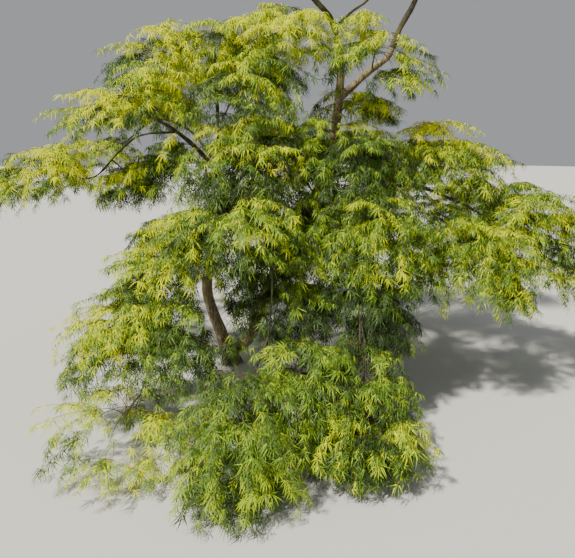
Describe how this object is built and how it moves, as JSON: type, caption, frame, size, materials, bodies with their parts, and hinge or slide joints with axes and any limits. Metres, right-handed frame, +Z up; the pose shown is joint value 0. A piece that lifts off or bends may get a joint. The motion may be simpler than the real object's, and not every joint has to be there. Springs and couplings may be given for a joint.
{
  "type": "japanese maple tree",
  "caption": "Weeping Japanese maple with finely cut green leaves: a leaning trunk and a second stem from one foot, arching boughs and layered hanging foliage, rooted in the ground.",
  "frame": {"origin": "middle of the flat cut under the trunk, at ground level", "axes": "+Z up, +X to the right and +Y away as the picture looks at the tree"},
  "size_m": [4.1051, 3.5225, 2.991],
  "materials": {
    "bark": "matt grey-brown bark with pale lichen",
    "foliage": "satin yellow-green leaves on dark twigs"
  },
  "bodies": {
    "root": {"trunk": "bark", "back_stem": "bark", "left_bough": "bark", "left_arch_bough": "bark", "upper_left_bough": "bark", "crown_bough": "bark", "front_low_bough": "bark", "front_drop_bough": "bark", "left_front_bough": "bark", "low_left_bough": "bark", "right_rising_bough": "bark", "right_drop_bough": "bark", "right_bough": "bark", "right_low_bough": "bark", "back_left_bough": "bark", "back_mid_bough": "bark", "back_right_bough": "bark", "top_left_arm": "bark", "top_right_arm": "bark", "top_thin_arm": "bark", "top_left_tuft": "foliage", "top_mid": "foliage", "top_centre": "foliage", "top_right": "foliage", "fork_cluster": "foliage", "upper_centre": "foliage", "left_layer": "foliage", "left_drooping": "foliage", "left_arch_sprig": "foliage", "dark_sprig": "foliage", "centre_high": "foliage", "centre_low": "foliage", "inner_cluster": "foliage", "dome": "foliage", "right_high": "foliage", "right_outer": "foliage", "right_front": "foliage", "right_low": "foliage", "small_sprig": "foliage", "skirt_high": "foliage", "skirt_outer": "foliage", "skirt_inner": "foliage", "low_left": "foliage", "curtain_centre": "foliage", "curtain_right": "foliage", "front_left": "foliage", "front_mid": "foliage", "front_right": "foliage", "hem_right": "foliage", "back_left_layer": "foliage", "back_left_drooping": "foliage", "back_top": "foliage", "back_centre": "foliage", "back_right": "foliage", "back_far_right": "foliage", "back_low_left": "foliage", "back_low_right": "foliage", "sky_left": "foliage", "sky_middle": "foliage", "sky_right": "foliage"}
  },
  "joints": []
}
